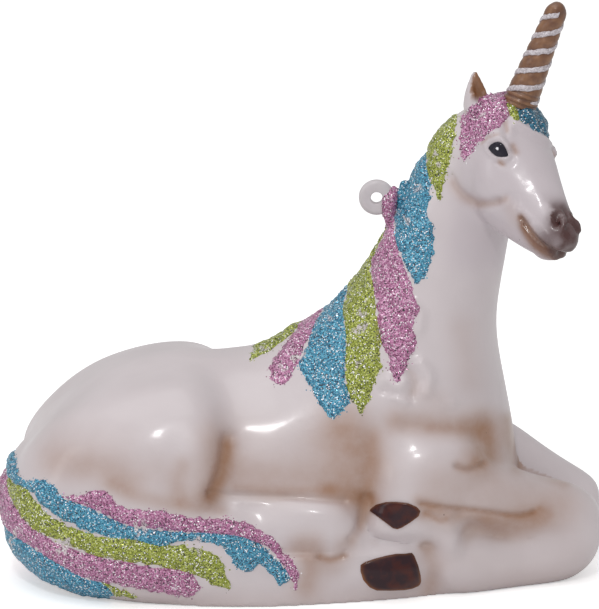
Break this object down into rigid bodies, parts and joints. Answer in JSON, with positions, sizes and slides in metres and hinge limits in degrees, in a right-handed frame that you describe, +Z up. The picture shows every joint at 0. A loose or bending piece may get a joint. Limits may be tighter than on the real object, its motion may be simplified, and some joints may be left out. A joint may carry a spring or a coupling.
{
  "type": "unicorn figurine",
  "caption": "Small glossy lying unicorn figurine with a spiral horn, glitter mane and tail, and a plastic hanging eyelet in its crest.",
  "frame": {"origin": "middle of the flat underside, on the surface that the figurine rests on", "axes": "+X towards the animal's knees, +Z up; the animal's right side faces -Y"},
  "size_m": [0.1029, 0.0514, 0.0979],
  "materials": {
    "white_resin": "glossy clear lacquer over white resin",
    "horn_bronze": "satin bronze-brown paint",
    "horn_white": "white paint with fine glitter",
    "clear_plastic": "milky injection-moulded plastic",
    "dark_enamel": "glossy dark brown enamel",
    "eye_enamel": "glossy black enamel",
    "glitter_pink": "glitter in clear binder",
    "glitter_blue": "glitter in clear binder",
    "glitter_green": "glitter in clear binder"
  },
  "bodies": {
    "root": {"body_casting": "white_resin", "horn": "horn_bronze", "horn_stripe_first": "horn_white", "horn_stripe_second": "horn_white", "hanging_eyelet": "clear_plastic", "eye_right": "eye_enamel", "eye_left": "eye_enamel", "hoof_fore_right": "dark_enamel", "hoof_hind_right": "dark_enamel", "hoof_fore_left": "dark_enamel", "hoof_hind_left": "dark_enamel", "mane_green_poll": "glitter_green", "mane_blue_crest": "glitter_blue", "mane_pink_eyelet": "glitter_pink", "mane_green_mid": "glitter_green", "mane_blue_low": "glitter_blue", "mane_pink_low": "glitter_pink", "mane_green_thin": "glitter_green", "forelock_green": "glitter_green", "forelock_pink": "glitter_pink", "forelock_blue": "glitter_blue", "tail_pink_top": "glitter_pink", "tail_blue_top": "glitter_blue", "tail_green": "glitter_green", "tail_pink_low": "glitter_pink", "tail_blue_low": "glitter_blue"}
  },
  "joints": []
}
